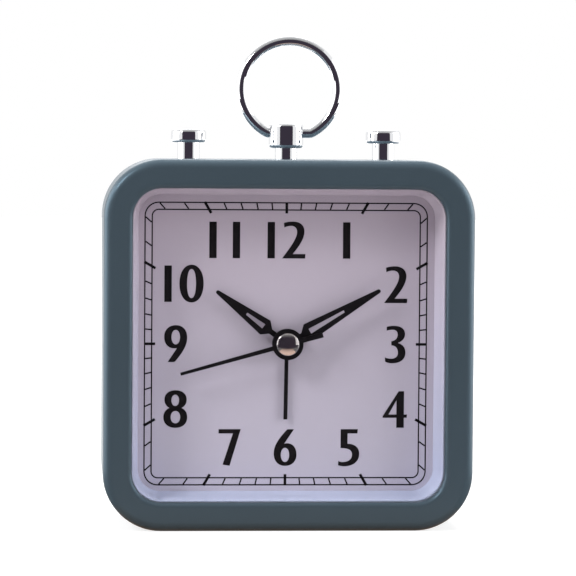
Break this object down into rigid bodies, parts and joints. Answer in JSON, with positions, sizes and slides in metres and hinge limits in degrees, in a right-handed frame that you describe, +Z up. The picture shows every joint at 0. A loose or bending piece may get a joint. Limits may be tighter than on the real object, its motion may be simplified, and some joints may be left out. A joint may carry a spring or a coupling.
{
  "type": "pendulette alarm clock",
  "caption": "Square quartz alarm clock with a rounded matte case, recessed dial with hands, chrome push-buttons and a hinged chrome ring on top, knobs and battery bay behind.",
  "frame": {"origin": "bottom centre of the clock's box: the surface it stands on, midway between the bezel's front and the knobs' backs", "axes": "+Z up, +X to the right seen from the front, the dial faces -Y"},
  "size_m": [0.085, 0.041, 0.1136],
  "materials": {
    "case_paint": "soft-touch matte blue-grey paint",
    "clear_lens": "clear polished lens",
    "ring_white": "glossy white",
    "dial_face": "smooth satin, cool white",
    "hand_black": "satin black",
    "chrome": "mirror polished",
    "steel": "plain zinc plated",
    "cell_wrap": "plain printed sleeve",
    "movement_plastic": "moulded black",
    "gear_plastic": "natural moulded",
    "board_green": "solder mask",
    "chip_black": "poured resin",
    "copper_wire": "enamelled copper",
    "lamp_white": "clear resin",
    "knob_black": "fine moulded texture"
  },
  "bodies": {
    "case": {"front_case": "case_paint", "lens": "clear_lens", "dial_ring": "ring_white", "dial": "dial_face", "dial_lamp": "lamp_white", "rear_cover": "case_paint", "case_screws": "steel", "battery_cell": "cell_wrap", "positive_contact": "steel", "negative_contact": "steel", "buzzer": "movement_plastic", "alarm_switch_housing": "movement_plastic", "pendant": "chrome", "pendant_washer": "steel", "pendant_nut": "steel", "button_board": "board_green", "movement_base": "movement_plastic", "train_plate": "movement_plastic", "movement_cover": "movement_plastic", "movement_screws": "steel", "mounting_screws": "steel", "circuit_board": "board_green", "clock_chip": "chip_black", "quartz_crystal": "steel", "stator": "steel", "coil_bobbin": "movement_plastic", "coil_winding": "copper_wire", "light_button_spring": "steel", "light_button_guide": "movement_plastic", "light_switch": "movement_plastic", "snooze_button_spring": "steel", "snooze_button_guide": "movement_plastic", "snooze_switch": "movement_plastic"},
    "second_hand": {"second_hand": "hand_black", "hand_cap": "chrome", "seconds_wheel": "gear_plastic"},
    "minute_hand": {"minute_hand": "hand_black", "cannon_pinion": "gear_plastic"},
    "hour_hand": {"hour_hand": "hand_black", "hour_wheel": "gear_plastic"},
    "alarm_hand": {"alarm_hand": "hand_black", "alarm_wheel": "gear_plastic"},
    "time_set_knob": {"time_set_knob": "knob_black", "motion_wheel": "gear_plastic"},
    "alarm_set_knob": {"alarm_set_knob": "knob_black", "alarm_set_pinion": "gear_plastic"},
    "centre_wheel": {"centre_wheel": "gear_plastic"},
    "third_wheel": {"third_wheel": "gear_plastic"},
    "intermediate_wheel": {"intermediate_wheel": "gear_plastic"},
    "rotor": {"rotor": "gear_plastic"},
    "light_button": {"light_button": "chrome", "light_button_clip": "steel"},
    "snooze_button": {"snooze_button": "chrome", "snooze_button_clip": "steel"},
    "hanging_ring": {"hanging_ring": "chrome"},
    "alarm_switch_lever": {"alarm_switch_lever": "knob_black"},
    "battery_door": {"battery_door": "case_paint"}
  },
  "joints": [
    {"name": "second_hand_spin", "type": "hinge", "parent": "case", "child": "second_hand", "pos_m": [0, 0, 0.0425], "axis": [0, 1, 0], "continuous": true},
    {"name": "minute_hand_spin", "type": "hinge", "parent": "case", "child": "minute_hand", "pos_m": [0, 0, 0.0425], "axis": [0, 1, 0], "continuous": true},
    {"name": "hour_hand_spin", "type": "hinge", "parent": "case", "child": "hour_hand", "pos_m": [0, 0, 0.0425], "axis": [0, 1, 0], "continuous": true},
    {"name": "alarm_hand_spin", "type": "hinge", "parent": "case", "child": "alarm_hand", "pos_m": [0, 0, 0.0425], "axis": [0, 1, 0], "continuous": true},
    {"name": "time_set_knob_spin", "type": "hinge", "parent": "case", "child": "time_set_knob", "pos_m": [-0.009, 0, 0.0425], "axis": [0, 1, 0], "continuous": true},
    {"name": "alarm_set_knob_spin", "type": "hinge", "parent": "case", "child": "alarm_set_knob", "pos_m": [0.0096, 0, 0.0425], "axis": [0, 1, 0], "continuous": true},
    {"name": "centre_wheel_spin", "type": "hinge", "parent": "case", "child": "centre_wheel", "pos_m": [0, 0, 0.0425], "axis": [0, 1, 0], "continuous": true},
    {"name": "third_wheel_spin", "type": "hinge", "parent": "case", "child": "third_wheel", "pos_m": [0, 0, 0.03604], "axis": [0, 1, 0], "continuous": true},
    {"name": "intermediate_wheel_spin", "type": "hinge", "parent": "case", "child": "intermediate_wheel", "pos_m": [0, 0, 0.04934], "axis": [0, 1, 0], "continuous": true},
    {"name": "rotor_spin", "type": "hinge", "parent": "case", "child": "rotor", "pos_m": [0.00461, 0, 0.052], "axis": [0, 1, 0], "continuous": true},
    {"name": "light_button_press", "type": "slide", "parent": "case", "child": "light_button", "axis": [0, 0, -1], "range_m": [0, 0.002], "stiffness_N_per_m": 500, "springref_m": -0.001, "deforming": ["light_button_spring"]},
    {"name": "snooze_button_press", "type": "slide", "parent": "case", "child": "snooze_button", "axis": [0, 0, -1], "range_m": [0, 0.002], "stiffness_N_per_m": 500, "springref_m": -0.001, "deforming": ["snooze_button_spring"]},
    {"name": "hanging_ring_tilt", "type": "hinge", "parent": "case", "child": "hanging_ring", "pos_m": [0, -0.0035, 0.09115], "axis": [1, 0, 0], "range_deg": [-100, 100]},
    {"name": "alarm_switch_slide", "type": "slide", "parent": "case", "child": "alarm_switch_lever", "axis": [0, 0, 1], "range_m": [0, 0.004]},
    {"name": "battery_door_lift", "type": "slide", "parent": "case", "child": "battery_door", "axis": [0, 1, 0], "range_m": [0, 0.02]}
  ],
  "couplings": [
    {"joint": "minute_hand_spin", "follows": "time_set_knob_spin", "ratio": -3},
    {"joint": "hour_hand_spin", "follows": "time_set_knob_spin", "ratio": -0.25},
    {"joint": "alarm_hand_spin", "follows": "alarm_set_knob_spin", "ratio": -0.33333},
    {"joint": "third_wheel_spin", "follows": "second_hand_spin", "ratio": -0.13333},
    {"joint": "centre_wheel_spin", "follows": "second_hand_spin", "ratio": 0.016667},
    {"joint": "intermediate_wheel_spin", "follows": "second_hand_spin", "ratio": -5},
    {"joint": "rotor_spin", "follows": "second_hand_spin", "ratio": 30}
  ]
}
